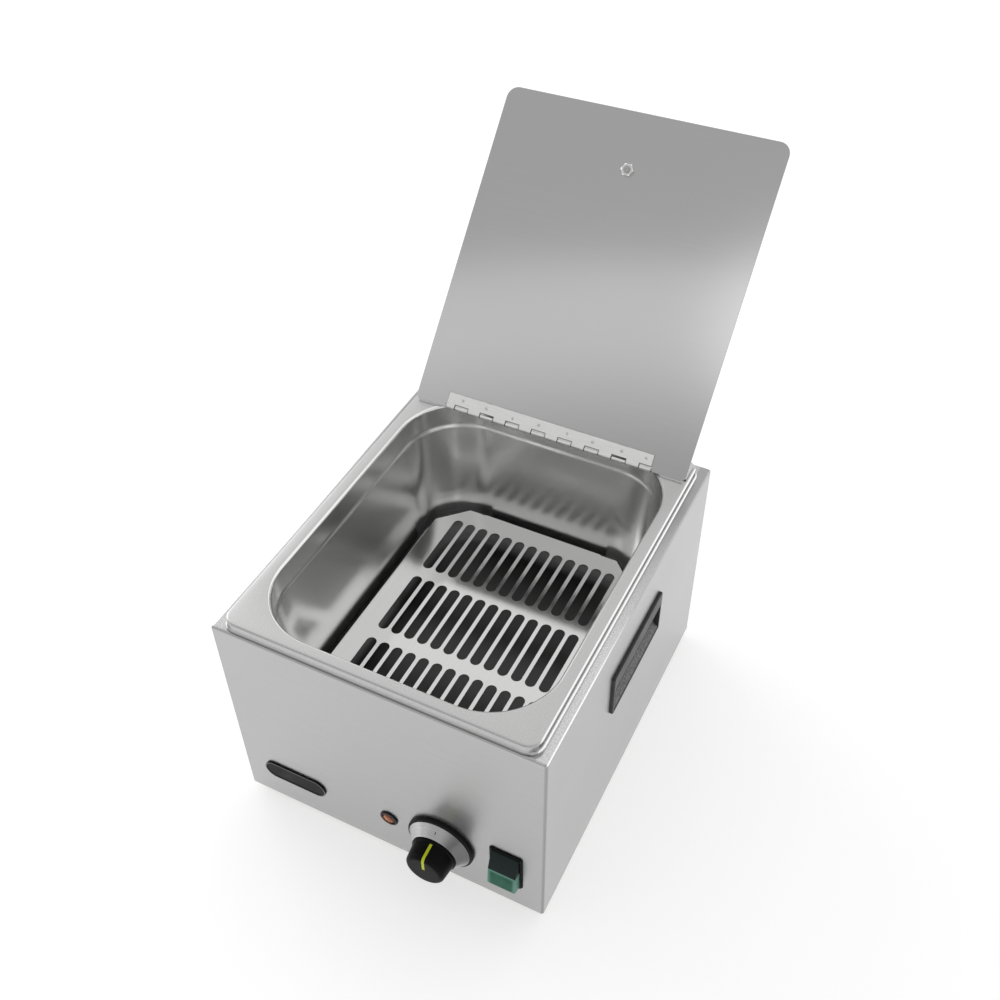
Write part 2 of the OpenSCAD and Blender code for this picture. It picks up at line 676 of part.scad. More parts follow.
// Thin tube of two bends from the thermostat up to the bulb
module capillary() {
  w = bulb_z - cap_0[2];
  r = 10;
  color(copper) place() translate(cap_0) rotate([0, -90, 0]) {
    rotate([-90, 0, 0]) cylinder(r = cap_r, h = 8, $fn = 24);
    translate([r, 8, 0]) rotate([0, 0, 90]) rotate_extrude(angle = 90)
      translate([r, 0]) circle(r = cap_r, $fn = 24);
    translate([r, 8 + r, 0]) rotate([0, 90, 0]) cylinder(r = cap_r, h = w - 2*r, $fn = 24);
    translate([w - r, 8 + 2*r, 0]) rotate([0, 0, -90]) rotate_extrude(angle = 90)
      translate([r, 0]) circle(r = cap_r, $fn = 24);
    translate([w, 8 + 2*r, 0]) rotate([-90, 0, 0])
      cylinder(r = cap_r, h = bulb_y - cap_0[1] - 8 - 2*r, $fn = 24);
  }
}

module sensor_bulb() {
  color(copper) place() translate([heater_pitch, bulb_y, bulb_z]) rotate([-90, 0, 0])
    rotate_extrude() polygon(concat([[0, 0], [1.4, 0]], arc([2, 2], 1, -30, 0, 2),
      arc([0, bulb_l - 3], 3, 0, 90, 5)));
}

module bulb_clip() {
  z1 = well_z - spreader_t;
  color(grey_steel) place() translate([heater_pitch, bulb_y + 26, 0]) difference() {
    union() {
      translate([-4.1, 0, bulb_z]) cube([8.2, 8, z1 - bulb_z]);
      translate([0, 0, bulb_z]) rotate([-90, 0, 0]) cylinder(r = 4.1, h = 8);
      translate([-9, 0, z1 - 0.9]) cube([18, 8, 0.9]);
    }
    translate([-3.2, -1, bulb_z]) cube([6.4, 10, z1 - bulb_z + 1]);
    translate([0, -1, bulb_z]) rotate([-90, 0, 0]) cylinder(r = 3.2, h = 10);
  }
}

module switch_frame() {
  color(black_plastic) on_front(switch_x, switch_z) difference() {
    union() {
      linear_extrude(switch_out - 1) rrect(switch_w, switch_h, 3);
      linear_extrude(switch_out) rrect(switch_w - 1.6, switch_h - 1.6, 2.2);
      translate([0, 0, -15]) cube([body_w, body_h, 30.2], center = true);
    }
    translate([0, 0, -4]) cube([window_w, window_h, 21], center = true);
    translate([0, 0, -rocker_back]) rotate([0, 90, 0])
      cylinder(r = 1.56, h = body_w + 2, center = true);
  }
}

module switch_rocker() {
  h = ridge - 22*tan(7);
  color([0.2, 0.45, 0.36]) on_front(switch_x, switch_z) translate([0, 0, -rocker_back])
    rotate([-rocker_a, 0, 0]) {
      intersection() {
        rotate([0, 90, 0]) cylinder(r = rocker_r, h = rocker_w, center = true);
        translate([-rocker_w/2, 0, 0]) rotate([90, 0, 90]) linear_extrude(rocker_w)
          polygon([[-22, h], [0, ridge], [22, h], [22, 0], [12, -6], [-12, -6], [-22, 0]]);
      }
      rotate([0, 90, 0]) cylinder(r = 1.5, h = rocker_w + 2*seat + 1.8, center = true);
    }
}

module switch_terminals() {
  color(brass) on_front(switch_x, switch_z) for (x = [-7, 7], y = [-11, 11])
    translate([x, y, -30.1 - 4.4]) cube([0.8, 6.3, 8.8], center = true);
}

module lamp_bezel() {
  r = lamp_d/2;
  color(black_plastic) on_front(lamp_x, lamp_z) rotate_extrude() polygon(concat(
    [[lens_r + 0.15, -12], [r - 1.1, -12], [r - 1.1, 0], [r, 0]],
    arc([r - 1, lamp_out - 1], 1, 0, 90, 4), [[lens_r + 0.15, lamp_out]]));
}

module lamp_lens() {
  color([0.85, 0.4, 0.15]) on_front(lamp_x, lamp_z) rotate_extrude() polygon(concat(
    [[0, -9], [lens_r, -9]],
    arc([0, lamp_out + 0.9 - lens_r*1.6], lens_r*1.6, acos(1/1.6), 90, 6)));
}

module lamp_body() {
  r = lamp_d/2 - 1.1;
  color(black_plastic) on_front(lamp_x, lamp_z) {
    translate([0, 0, -24]) cylinder(r = r, h = 12);
    for (x = [-3, 3]) translate([x, 0, -28]) cube([0.8, 4.8, 8.2], center = true);
  }
}

module badge_plate() {
  color(black_plastic) on_front(-badge_x, badge_z) difference() {
    linear_extrude(badge_t) rrect(badge_w, badge_h, badge_h/2 - 0.01);
    translate([0, 0, badge_t - 0.4]) linear_extrude(1)
      rrect(badge_w - 2.4, badge_h - 2.4, badge_h/2 - 1.21);
  }
}

// Side grips are drawn with X along the side, Y up and Z the way out of the side
module on_side() {
  place() translate([side, grip_y, foot_h + grip_z]) rotate([90, 0, 90]) children();
}

module grip_hole() {
  translate([-grip_l/2 + grip_bar - 1.5, -grip_h/2 + grip_bar - 1.5, -4])
    cube([grip_l - 2*grip_bar + 3, grip_h - 2*grip_bar + 1.8, 8]);
}

// A flat frame with a hood over its upper part; below the hood a ramp leads into the pocket
module grip() {
  r = grip_bar + 0.2;
  y0 = grip_bar - grip_h/2;
  y1 = grip_h/2 - hood_h;
  y2 = grip_h/2 - grip_bar - 1.2;
  y3 = y0 + 1.1*(grip_out + 7);
  l = grip_l - 2*grip_bar;
  d = grip_depth;
  difference() {
    union() {
      sweep_rect(grip_l, grip_h, r) polygon(concat([[0, 0], [r, 0]],
        arc([r - 1, grip_out - 1], 1, 0, 90, 4), [[0, grip_out]]));
      linear_extrude(grip_out) square([grip_l - 2*r, grip_h - 2*r], center = true);
      translate([-l/2 - 1.2, 0, 0]) rotate([90, 0, 90]) linear_extrude(l + 2.4)
        polygon([[y0 - 1.2, eps], [y0 - 1.2, -1.6], [y0 + 1.1*(grip_out + 1.6) - 2.1, -1.6],
          [y3 - 1.3, -7.8], [y3 + 0.2, -d + 2], [y3 + 3, -d - 1.2], [y2 + 1.2, -d - 1.2],
          [y2 + 1.2, eps]]);
    }
    translate([-l/2, 0, 0]) rotate([90, 0, 90]) linear_extrude(l)
      polygon([[y0, grip_out + 1], [y0, grip_out], [y3, -7], [y3 + 1.6, -d + 2.5], [y3 + 4, -d],
        [y2 - 2, -d], [y2, -d + 2], [y2, grip_out - 2.2], [y1, grip_out - 2.2], [y1, grip_out + 1]]);
  }
}

module grip_right() {
  color(black_plastic) on_side() grip();
}

module grip_left() {
  color(black_plastic) mirror([1, 0, 0]) on_side() grip();
}

module heat_spreader() {
  color(aluminium) place() difference() {
    translate([0, mouth_y, well_z - spreader_t]) linear_extrude(spreader_t)
      rrect(spreader_w, spreader_l, 8);
    for (x = [-1, 1]) translate([x*heater_pitch, bar_y, well_z - spreader_t - 1])
      cylinder(r = 3.3, h = spreader_t + 2);
  }
}

// Element in four runs: three half-round bends join them and both ends come out at the front
module heating_element() {
  h = heater_pitch/2;
  l = heater_l/2;
  color(grey_steel) place() translate([0, mouth_y, tube_z]) {
    for (i = [0:3]) {
      f = (i == 0 || i == 3) ? lead_l : 0;
      translate([(i - 1.5)*heater_pitch, -l - f, 0]) rotate([-90, 0, 0])
        cylinder(d = heater_d, h = 2*l + f, $fn = 40);
    }
    for (x = [-1, 1]) translate([x*heater_pitch, l, 0]) rotate_extrude(angle = 180)
      translate([h, 0]) circle(d = heater_d, $fn = 40);
    translate([0, -l, 0]) rotate([0, 0, 180]) rotate_extrude(angle = 180)
      translate([h, 0]) circle(d = heater_d, $fn = 40);
  }
}

module element_ends() {
  for (x = [-1, 1]) place()
    translate([x*run_x, mouth_y - heater_l/2 - lead_l, tube_z]) rotate([90, 0, 0]) {
      color([0.85, 0.83, 0.78]) cylinder(d = heater_d + 1.5, h = 5, $fn = 40);
      color(brass) cylinder(r = 1.5, h = 14, $fn = 32);
    }
}

module clamp_bar() {
  color(grey_steel) place() translate([0, bar_y, bar_z - bar_t]) difference() {
    linear_extrude(bar_t) rrect(3*heater_pitch + 24, 20, 4);
    for (x = [-1, 1]) translate([x*heater_pitch, 0, -1]) cylinder(r = 3.3, h = bar_t + 2);
  }
}

module clamp_nuts() {
  color(brass) place() for (x = [-1, 1])
    translate([x*heater_pitch, bar_y, bar_z - bar_t - nut_h]) nut(10, nut_h, 3 + fit);
}

module overheat_cutout() {
  z1 = well_z - spreader_t;
  color(black_plastic) place() translate([0, mouth_y - 40, z1]) {
    translate([0, 0, -1.2]) linear_extrude(1.2) rrect(13, 24, 2);
    translate([0, 0, -9]) cylinder(r = 7.5, h = 8, $fn = 48);
  }
  color(brass) place() translate([0, mouth_y - 40, z1]) for (y = [-5, 5])
    translate([-3.15, y - 0.4, -16.4]) cube([6.3, 0.8, 7.6]);
}

module terminal_block() {
  color([0.85, 0.84, 0.8]) place() translate([-60, back - 58, foot_h]) difference() {
    union() {
      translate([-18, -10, 0]) cube([36, 20, 7]);
      for (i = [-1:1]) translate([i*12 - 5, -7, 6]) cube([10, 14, 9]);
    }
    for (i = [-1:1]) translate([i*12, 0, 0]) {
      for (y = [-3.5, 3.5]) translate([0, y, 9]) cylinder(r = 1.9, h = 8, $fn = 24);
      translate([0, 0, 6.5]) rotate([90, 0, 0]) cylinder(r = 2, h = 30, center = true, $fn = 24);
    }
  }
}

// Cord gland in the back, drawn with Z the way out of the back
module on_gland() {
  place() translate([-60, back, foot_h + 36]) rotate([-90, 0, 0]) children();
}

module cord_gland() {
  r = cord_d/2;
  color(black_plastic) on_gland() difference() {
    union() {
      rotate_extrude() polygon(concat([[r, -16], [r + 3.9, -16], [r + 3.9, 0], [r + 7, 0],
        [r + 7, 4], [r + 5.4, 5], [r + 5.4, 12]], arc([r + 2.4, 14], 3, 0, 80, 4), [[r, 17]]));
      intersection() {
        cylinder(d = 2*(r + 6)/cos(30), h = 5, $fn = 6);
        cylinder(r = r + 6.8, h = 5);
      }
    }
    translate([0, 0, -20]) cylinder(r = r, h = 40);
  }
}

module gland_nut() {
  r = cord_d/2;
  color(black_plastic) on_gland() translate([0, 0, -sheet - 5]) nut(2*(r + 6.5), 5, r + 3.9 + fit);
}

jacket();
base_plate();
base_screws();
rubber_feet();
basin();
insert_plate();
lid_plate();
lid_leaf();
fixed_leaf();
hinge_pin();
rear_strip();
lid_knob();
knob_stud();
knob_nut();
dial_ring();
dial_screws();
dial_skirt();
thermostat_knob();
knob_pointer();
thermostat_shaft();
thermostat_plate();
thermostat_body();
capillary();
sensor_bulb();
bulb_clip();
switch_frame();
switch_rocker();
switch_terminals();
lamp_bezel();
lamp_lens();
lamp_body();
badge_plate();
grip_right();
grip_left();
heat_spreader();
heating_element();
element_ends();
clamp_bar();
clamp_nuts();
overheat_cutout();
terminal_block();
cord_gland();
gland_nut();
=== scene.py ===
import json
import bmesh
import bpy
import numpy as np
from mathutils import Matrix, Vector

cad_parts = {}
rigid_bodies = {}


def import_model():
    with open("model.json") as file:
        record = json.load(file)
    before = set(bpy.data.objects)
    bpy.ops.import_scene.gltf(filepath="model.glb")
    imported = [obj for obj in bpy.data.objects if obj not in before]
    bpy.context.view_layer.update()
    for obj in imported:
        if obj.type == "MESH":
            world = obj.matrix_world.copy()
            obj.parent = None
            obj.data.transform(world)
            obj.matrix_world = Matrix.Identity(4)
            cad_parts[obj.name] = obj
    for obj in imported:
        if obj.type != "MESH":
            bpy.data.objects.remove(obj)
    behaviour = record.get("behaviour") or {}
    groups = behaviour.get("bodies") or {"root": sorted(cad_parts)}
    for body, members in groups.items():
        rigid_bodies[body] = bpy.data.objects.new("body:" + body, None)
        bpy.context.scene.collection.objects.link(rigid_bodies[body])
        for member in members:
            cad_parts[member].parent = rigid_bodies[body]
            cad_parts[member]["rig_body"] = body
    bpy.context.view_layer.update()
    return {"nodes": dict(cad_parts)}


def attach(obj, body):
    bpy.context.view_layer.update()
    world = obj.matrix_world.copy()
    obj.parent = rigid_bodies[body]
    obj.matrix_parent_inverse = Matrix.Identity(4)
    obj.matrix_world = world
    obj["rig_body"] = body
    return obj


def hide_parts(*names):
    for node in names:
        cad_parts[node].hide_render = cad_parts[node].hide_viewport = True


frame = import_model()

# Camera: stands in front of the warmer, to its right and well above it, and looks down into
# the basin. Its place, turn and lens were worked out from the edges of the object.
eye = (0.321643, -0.643515, 0.905559)
right = (0.8932803336, 0.4493469966, -0.0117269864)
down = (0.3043530295, -0.6238262650, -0.7198680605)
ahead = (-0.3307861530, 0.6394748374, -0.6940118539)
camera_data = bpy.data.cameras.new("camera")
camera_data.sensor_width = 36.0
camera_data.lens = 42.2805
camera_data.clip_start = 0.05
camera_data.clip_end = 60.0
camera = bpy.data.objects.new("camera", camera_data)
bpy.context.scene.collection.objects.link(camera)
camera.matrix_world = Matrix([(right[k], -down[k], -ahead[k], eye[k]) for k in range(3)]
                             + [(0.0, 0.0, 0.0, 1.0)])
bpy.context.scene.camera = camera

# Floor and light: a white table top, lit softly from all round, under a wide soft box at the
# left. The room is bright behind the warmer and dimmer in front, where a pale strip of light
# hangs across it and is brightest at one end. Past the table's edge the camera sees plain white.
bpy.context.scene.view_settings.view_transform = "Standard"
box_place, box_aim = Vector((-2.5, 0.7, 1.1)), Vector((0.0, 0.0, 0.1))
box_data = bpy.data.lights.new("box_left", "AREA")
box_data.shape = "SQUARE"
box_data.size = 2.2
box_data.energy = 30.0
soft_box = bpy.data.objects.new("box_left", box_data)
bpy.context.scene.collection.objects.link(soft_box)
box_turn = (box_aim - box_place).to_track_quat("-Z", "Y").to_matrix().to_4x4()
soft_box.matrix_world = Matrix.Translation(box_place) @ box_turn

table_half = 25.0
floor_mesh = bpy.data.meshes.new("floor")
floor_mesh.from_pydata([(-table_half, -table_half, 0), (table_half, -table_half, 0),
                        (table_half, table_half, 0), (-table_half, table_half, 0)], [], [(0, 1, 2, 3)])
floor = bpy.data.objects.new("floor", floor_mesh)
bpy.context.scene.collection.objects.link(floor)
floor_paint = bpy.data.materials.new("floor_white")
floor_paint.use_nodes = True
paint = floor_paint.node_tree.nodes["Principled BSDF"]
paint.inputs["Base Color"].default_value = (0.6, 0.6, 0.6, 1)
paint.inputs["Roughness"].default_value = 0.9
paint.inputs["Specular IOR Level"].default_value = 0.0
paint.inputs["Emission Color"].default_value = (1, 1, 1, 1)
paint.inputs["Emission Strength"].default_value = 0.5
floor_mesh.materials.append(floor_paint)

room = bpy.data.worlds.new("room")
bpy.context.scene.world = room
room.use_nodes = True
sky = room.node_tree
facing = sky.nodes.new("ShaderNodeTexCoord").outputs["Generated"]
split = sky.nodes.new("ShaderNodeSeparateXYZ")
sky.links.new(facing, split.inputs[0])
# The room's own shade, from front to back.
shades = sky.nodes.new("ShaderNodeMapRange")
for name, value in (("From Min", -0.5), ("From Max", 0.75), ("To Min", 0.63), ("To Max", 1.1)):
    shades.inputs[name].default_value = value
sky.links.new(split.outputs["Y"], shades.inputs["Value"])
brightness = shades.outputs["Result"]
# The strip's light, the dark below it, and its bright end: the direction that each lies round,
# the cosines between which it fades in, and how much light it adds.
for toward, low, high, gain in (((0, -1, 0), 0.592, 0.616, 0.34), ((0, -1, 0), 0.645, 0.739, -0.42),
                                ((-0.124, -0.64, 0.754), 0.99, 0.998, 0.6)):
    nearness = sky.nodes.new("ShaderNodeVectorMath")
    nearness.operation = "DOT_PRODUCT"
    nearness.inputs[1].default_value = toward
    sky.links.new(facing, nearness.inputs[0])
    patch = sky.nodes.new("ShaderNodeMapRange")
    patch.interpolation_type = "SMOOTHSTEP"
    for name, value in (("From Min", low), ("From Max", high), ("To Min", 0.0), ("To Max", gain)):
        patch.inputs[name].default_value = value
    sky.links.new(nearness.outputs["Value"], patch.inputs["Value"])
    added = sky.nodes.new("ShaderNodeMath")
    added.operation = "ADD"
    sky.links.new(brightness, added.inputs[0])
    sky.links.new(patch.outputs["Result"], added.inputs[1])
    brightness = added.outputs[0]
shown = sky.nodes.new("ShaderNodeMath")
shown.operation = "MAXIMUM"
sky.links.new(brightness, shown.inputs[0])
sky.links.new(sky.nodes.new("ShaderNodeLightPath").outputs["Is Camera Ray"], shown.inputs[1])
sky.links.new(shown.outputs[0], sky.nodes["Background"].inputs["Color"])


# Jacket: one sheet of brushed stainless steel, folded into a box with a flange turned in at the
# top and at the bottom. The openings for the controls and the grips are punched in it.
def joined(points, faces):
    """Points less than a micrometre apart become one, and a face that loses a side by it has
    one corner fewer."""
    grid = np.round(points * 1e6).astype(np.int64)
    _, first, where_to = np.unique(grid, axis=0, return_index=True, return_inverse=True)
    faces = where_to.reshape(-1)[faces]
    double = faces == np.roll(faces, -1, axis=1)
    rows = faces[double.sum(1) == 0].tolist()
    if faces.shape[1] == 4:
        one = double.sum(1) == 1
        rows += faces[one][~double[one]].reshape(-1, 3).tolist()
    return points[first], rows


def carried(name, finish, soften=0.0, limit=35.0):
    """The CAD node's own surface as one smooth skin: its loose triangles are joined, the flat
    ones run together, and edges sharper than limit degrees are rounded by soften metres."""
    raw = frame["nodes"][name].data
    points = np.empty(len(raw.vertices) * 3, dtype=np.float32)
    raw.vertices.foreach_get("co", points)
    corners = np.empty(len(raw.loops), dtype=np.int32)
    raw.loops.foreach_get("vertex_index", corners)
    points, rows = joined(points.reshape(-1, 3).astype(float), corners.reshape(-1, 3))
    mesh = bpy.data.meshes.new(name + "_skin")
    mesh.from_pydata(points.tolist(), [], rows)
    work = bmesh.new()
    work.from_mesh(mesh)
    bmesh.ops.dissolve_limit(work, angle_limit=np.radians(0.6), verts=work.verts, edges=work.edges)
    work.to_mesh(mesh)
    work.free()
    mesh.polygons.foreach_set("use_smooth", np.ones(len(mesh.polygons), dtype=bool))
    mesh.materials.append(finish)
    item = bpy.data.objects.new(name + "_skin", mesh)
    bpy.context.scene.collection.objects.link(item)
    if soften:
        edge = item.modifiers.new("edge", "BEVEL")
        edge.width = soften
        edge.segments = 2
        edge.limit_method = "ANGLE"
        edge.angle_limit = np.radians(limit)
    else:
        mesh.set_sharp_from_angle(angle=np.radians(limit))
    shade = item.modifiers.new("shade", "WEIGHTED_NORMAL")
    shade.keep_sharp = not soften
    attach(item, frame["nodes"][name]["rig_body"])
    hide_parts(name)


def wired(finish, kind, links=(), mode=None, **values):
    """A shader node of that kind: links are the outputs that feed its inputs in turn (None for
    none), values set the inputs by place or by name, with _ for a space."""
    tree = finish.node_tree
    made = tree.nodes.new("ShaderNode" + kind)
    if mode:
        made.operation = mode
    for k, link in enumerate(links):
        if link is not None:
            tree.links.new(link, made.inputs[k])
    for name, value in values.items():
        key = int(name[2:]) if name.startswith("in") and name[2:].isdigit() else name.replace("_", " ")
        made.inputs[key].default_value = value
    return made


def reckoned(finish, mode, *links, **values):
    """The result of one Math node, such as the sum or the larger of two values."""
    return wired(finish, "Math", links, mode, **values).outputs[0]


def both(finish, first, second):
    """The product of two masks: 1 only where both are."""
    return reckoned(finish, "MULTIPLY", first, second)


def place_on(finish):
    """The place of a surface point on the warmer, in metres: its Object coordinates."""
    return wired(finish, "TexCoord").outputs["Object"]


def place_parts(finish):
    """That place as three outputs: across, along and height."""
    return wired(finish, "SeparateXYZ", [place_on(finish)]).outputs


def spread(finish, value, low, high, start=0.0, stop=1.0, smooth=False):
    """Carries a value between low and high over to the range from start to stop."""
    made = wired(finish, "MapRange", [value], From_Min=low, From_Max=high, To_Min=start, To_Max=stop)
    if smooth:
        made.interpolation_type = "SMOOTHSTEP"
    return made.outputs["Result"]


def grey(level):
    """Colour with three equal parts."""
    return (level, level, level)


def blended(finish, mask, first, second):
    """Colour between first and second by the mask; each is a colour or an output."""
    made = wired(finish, "Mix")
    made.data_type = "RGBA"
    finish.node_tree.links.new(mask, made.inputs["Factor"])
    for key, colour in ((6, first), (7, second)):
        if isinstance(colour, tuple):
            made.inputs[key].default_value = colour + (1,)
        else:
            finish.node_tree.links.new(colour, made.inputs[key])
    return made.outputs[2]


def metal(name, colour, rough, stretch, depth, shade=0.03, patches=7.0, cloud=0.0):
    """Metal with brush lines: a noise of the Object coordinates, stretched by different
    factors along X, Y and Z, and a fine grain set the relief, the gloss and a little of the
    shade; a wide slow swell of height cloud bends the reflections."""
    finish = bpy.data.materials.new(name)
    finish.use_nodes = True
    tree = finish.node_tree
    bsdf = tree.nodes["Principled BSDF"]
    bsdf.inputs["Metallic"].default_value = 1.0
    place = place_on(finish)
    drawn = wired(finish, "Mapping", [place], Scale=stretch).outputs[0]
    lines = wired(finish, "TexNoise", [drawn], Scale=1.0, Detail=3.0, Roughness=0.6).outputs[0]
    grain = wired(finish, "TexNoise", [place], Scale=1300.0, Detail=1.0).outputs[0]
    marks = wired(finish, "TexNoise", [place], Scale=patches, Detail=4.0).outputs[0]
    fine = reckoned(finish, "MULTIPLY_ADD", grain, None, lines, in1=0.5)
    gloss = reckoned(finish, "MULTIPLY_ADD", fine, None, marks, in1=0.5)
    tree.links.new(spread(finish, gloss, 0.65, 1.45, *rough), bsdf.inputs["Roughness"])
    dark, light = (tuple(c * (1 + s) for c in colour) for s in (-shade, shade))
    tree.links.new(blended(finish, spread(finish, fine, 0.45, 1.05), dark, light),
                   bsdf.inputs["Base Color"])
    relief = wired(finish, "Bump", Distance=depth)
    tree.links.new(fine, relief.inputs["Height"])
    if cloud:
        swell = wired(finish, "TexNoise", [place], Scale=22.0, Detail=2.0).outputs[0]
        wide = wired(finish, "Bump", Distance=cloud)
        tree.links.new(swell, wide.inputs["Height"])
        tree.links.new(wide.outputs[0], relief.inputs["Normal"])
    tree.links.new(relief.outputs["Normal"], bsdf.inputs["Normal"])
    return finish


def overlaid(finish, mask, colour, rough=None):
    """Lays a colour, and a gloss where one is given, over a finish where the mask is 1."""
    tree = finish.node_tree
    bsdf = tree.nodes["Principled BSDF"]
    under = bsdf.inputs["Base Color"].links[0].from_socket
    tree.links.new(blended(finish, mask, under, colour), bsdf.inputs["Base Color"])
    if rough is not None:
        under = bsdf.inputs["Roughness"].links[0].from_socket
        made = wired(finish, "Mix", [mask, None, under], in3=rough)
        tree.links.new(made.outputs[0], bsdf.inputs["Roughness"])


def tilted(finish, angle, pivot):
    """The place turned back by angle degrees about an axis along X, and measured from pivot."""
    tilt = wired(finish, "Mapping", [place_on(finish)])
    tilt.vector_type = "TEXTURE"
    tilt.inputs["Rotation"].default_value = (np.radians(angle), 0.0, 0.0)
    tilt.inputs["Location"].default_value = pivot
    return tilt.outputs[0]


def inward(finish, low, high, turn=None):
    """Distances from the three pairs of faces of the box from low to high, as three outputs:
    half the box's size less the distance from its middle. turn gives the angle and the pivot
    of a box that is tilted."""
    place = tilted(finish, *turn) if turn else place_on(finish)
    low, high = np.array(low), np.array(high)
    far = wired(finish, "VectorMath", [place], "SUBTRACT", in1=tuple((low + high) / 2))
    size = wired(finish, "VectorMath", [far.outputs[0]], "ABSOLUTE")
    left = wired(finish, "VectorMath", [None, size.outputs[0]], "SUBTRACT", in0=tuple((high - low) / 2))
    return wired(finish, "SeparateXYZ", [left.outputs[0]]).outputs


def painted_edge_tone(finish, low, high, width, colour, rough=None, turn=None):
    """A colour painted along the edges of a box, here painted highlights and painted shade: the second
    smallest of the distances to its faces, blurred by a noise, is small only near an edge."""
    x, y, z = inward(finish, low, high, turn)
    small = reckoned(finish, "MINIMUM", x, y)
    large = reckoned(finish, "MAXIMUM", x, y)
    second = reckoned(finish, "MAXIMUM", small, reckoned(finish, "MINIMUM", large, z))
    edge_noise = wired(finish, "TexNoise", [place_on(finish)], Scale=260.0, Detail=3.0).outputs[0]
    loose = reckoned(finish, "MULTIPLY_ADD", edge_noise, None, second, in1=width)
    overlaid(finish, spread(finish, loose, width * 0.55, width * 1.5, 1.0, 0.0, True), colour, rough)


def speckled(finish, low, high, dark, light):
    """Speckled metal: colour between dark and light by a fine noise."""
    sand = wired(finish, "TexNoise", [place_on(finish)], Scale=900.0).outputs[0]
    return blended(finish, spread(finish, sand, low, high), dark, light)


front_y, back_y, side_x, jacket_top = -0.231788, 0.102712, 0.1415, 0.22
jacket_steel = metal("jacket_steel", grey(0.48), (0.3, 0.4), (9, 9, 1100), 0.0000025, 0.06)

# Its upright folds: a soft grey band of painted shade, a painted highlight along the edges, and a thin dark
# line of painted shade at the fold itself.
x, y, _ = inward(jacket_steel, (-side_x, front_y, 0.0), (side_x, back_y, jacket_top))
from_corner = reckoned(jacket_steel, "MAXIMUM", x, y)
overlaid(jacket_steel, spread(jacket_steel, from_corner, 0.0013, 0.0026, 0.8, 0.0, True), grey(0.33), 0.4)
painted_edge_tone(jacket_steel, (-side_x, front_y, -0.02), (side_x, back_y, jacket_top), 0.0009, (0.68, 0.68, 0.67))
overlaid(jacket_steel, spread(jacket_steel, from_corner, 0.0003, 0.0011, 0.8, 0.0, True), grey(0.12))

# The flanges beside the basin are speckled and painted lighter as a reflection, with painted shade towards
# the back; the fold at their right has a painted highlight in front. Each is a band past start, down to low
# under the top, and fades along the side from the first place to the second.
across, along, height = place_parts(jacket_steel)
either_side = reckoned(jacket_steel, "ABSOLUTE", across)
flange_x, flange_low, fold_wide = 0.132, 0.0004, 0.0012
flange_grain_and_sheen = speckled(jacket_steel, 0.35, 0.65, grey(0.5), grey(0.68))
for side, start, low, fade, colour, rough in (
        (either_side, flange_x, flange_low, (0.0, 1.0, 1.0, 1.0), flange_grain_and_sheen, 0.18),
        (either_side, flange_x, flange_low, (-0.12, 0.04, 0.0, 0.75), grey(0.27), 0.3),
        (across, side_x - fold_wide, 0.0014, (-0.15, -0.07, 1.0, 0.0), grey(1.0), 0.25)):
    beside = spread(jacket_steel, side, start, start + 0.0002)
    on_top = spread(jacket_steel, height, jacket_top - low - 0.0002, jacket_top - low)
    faded = spread(jacket_steel, along, *fade)
    overlaid(jacket_steel, both(jacket_steel, both(jacket_steel, beside, on_top), faded), colour, rough)
carried("jacket", jacket_steel)


# Basin: a half-size gastronorm pan, deep-drawn from stainless sheet. Its flat rim is turned
# down all round and stands on the jacket with a small flare, and under its rolled mouth the
# wall steps in at a stacking shoulder. Two studs for the heater are welded under its floor.
def piece(name, points, rows, body, slot, finish):
    """A named object with that mesh, riding on a body, its faces turned outwards."""
    mesh = bpy.data.meshes.new(name)
    mesh.from_pydata(points.tolist(), [], rows)
    work = bmesh.new()
    work.from_mesh(mesh)
    bmesh.ops.recalc_face_normals(work, faces=work.faces)
    work.to_mesh(mesh)
    work.free()
    mesh.polygons.foreach_set("use_smooth", np.ones(len(mesh.polygons), dtype=bool))
    mesh.materials.append(finish)
    item = bpy.data.objects.new(name, mesh)
    bpy.context.scene.collection.objects.link(item)
    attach(item, body)
    return item


def rounded(half_x, half_y, radius, height, steps=20):
    """One closed line: a rectangle whose four corners are quarter circles of that radius."""
    turn = np.linspace(0.0, np.pi / 2, steps + 1)
    angle = np.concatenate([turn + k * np.pi / 2 for k in range(4)])
    sign_x = np.repeat([1, -1, -1, 1], steps + 1)
    sign_y = np.repeat([1, 1, -1, -1], steps + 1)
    return np.stack([sign_x * (half_x - radius) + radius * np.cos(angle),
                     sign_y * (half_y - radius) + radius * np.sin(angle),
                     np.full(angle.shape, height)], axis=1)


def bend(centre, radius, start, stop, steps):
    """Points of an arc in a wall's section, from start to stop degrees: the centre and the
    radius times the cosine and the sine."""
    angle = np.radians(np.linspace(start, stop, steps + 1))
    return np.stack([centre[0] + radius * np.cos(angle), centre[1] + radius * np.sin(angle)], axis=1)


def skin(lines):
    """Faces between closed lines that follow each other; a line of one point closes as a pole."""
    m, n = lines.shape[:2]
    i = np.arange(m - 1)[:, None]
    j = np.arange(n)[None, :]
    after = (j + 1) % n
    faces = np.stack([i * n + j, i * n + after, (i + 1) * n + after, (i + 1) * n + j], axis=-1)
    return joined(lines.reshape(-1, 3), faces.reshape(-1, 4))


